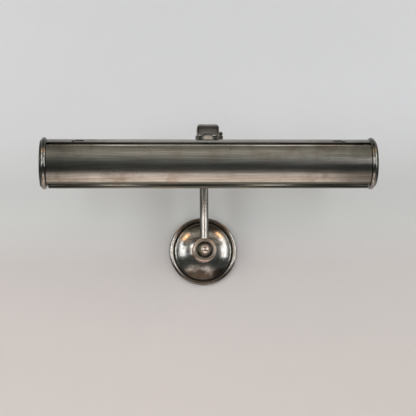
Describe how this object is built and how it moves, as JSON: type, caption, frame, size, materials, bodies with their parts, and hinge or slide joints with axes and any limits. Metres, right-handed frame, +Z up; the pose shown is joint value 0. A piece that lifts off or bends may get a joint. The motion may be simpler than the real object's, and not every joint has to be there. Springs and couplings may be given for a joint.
{
  "type": "picture light",
  "caption": "Wall-mounted picture light: a tubular metal shade with a vent gap, tilting on a wing-nut knuckle at the end of a bent arm that rises from a dished round wall rose.",
  "frame": {"origin": "centre of the rose's back, on the wall, midway between the two wall screw holes", "axes": "+X to the viewer's right along the shade, +Y into the wall, +Z up"},
  "size_m": [0.3544, 0.1414, 0.1683],
  "materials": {
    "aged_nickel": "aged nickel plate on brass, semi-gloss, streaked with brown patina",
    "dark_nickel": "darkened nickel plate, satin",
    "plain_steel": "zinc-plated steel, satin",
    "plain_brass": "plain brass, satin",
    "black_rubber": "matt black rubber",
    "ivory_plastic": "matt ivory plastic",
    "white_ceramic": "white glazed ceramic",
    "opal_glass": "opal white lamp glass, unlit"
  },
  "bodies": {
    "arm": {"rose": "aged_nickel", "boss": "aged_nickel", "ball_finial": "aged_nickel", "arm_tube": "aged_nickel", "arm_collar": "aged_nickel", "knuckle_hood": "dark_nickel", "pivot_screw": "dark_nickel", "knuckle_bushes": "dark_nickel", "back_plate": "plain_steel", "nipple": "plain_steel", "nipple_nut": "plain_steel", "earth_screw": "plain_brass", "cable_grommet": "black_rubber", "arm_flex": "black_rubber", "supply_terminal": "ivory_plastic"},
    "shade": {"knuckle_lug": "aged_nickel", "lug_screw": "plain_steel", "shade_spine": "aged_nickel", "front_shade": "aged_nickel", "end_cap_left": "aged_nickel", "end_cap_right": "aged_nickel", "spine_grommet": "black_rubber", "shade_terminal": "ivory_plastic", "lead_left": "ivory_plastic", "lead_right": "ivory_plastic", "bracket_left": "plain_steel", "bracket_right": "plain_steel", "holder_left": "white_ceramic", "holder_right": "white_ceramic", "lamp_cap_left": "plain_brass", "lamp_cap_right": "plain_brass", "lamp_glass_left": "opal_glass", "lamp_glass_right": "opal_glass"},
    "wing_nut": {"wing_nut": "dark_nickel"}
  },
  "joints": [
    {"name": "shade_tilt", "type": "hinge", "parent": "arm", "child": "shade", "pos_m": [0, -0.09795, 0.11395], "axis": [1, 0, 0], "range_deg": [-45, 40]},
    {"name": "wing_nut_turn", "type": "hinge", "parent": "arm", "child": "wing_nut", "pos_m": [0, -0.09795, 0.11395], "axis": [1, 0, 0], "range_deg": [0, 360]}
  ]
}
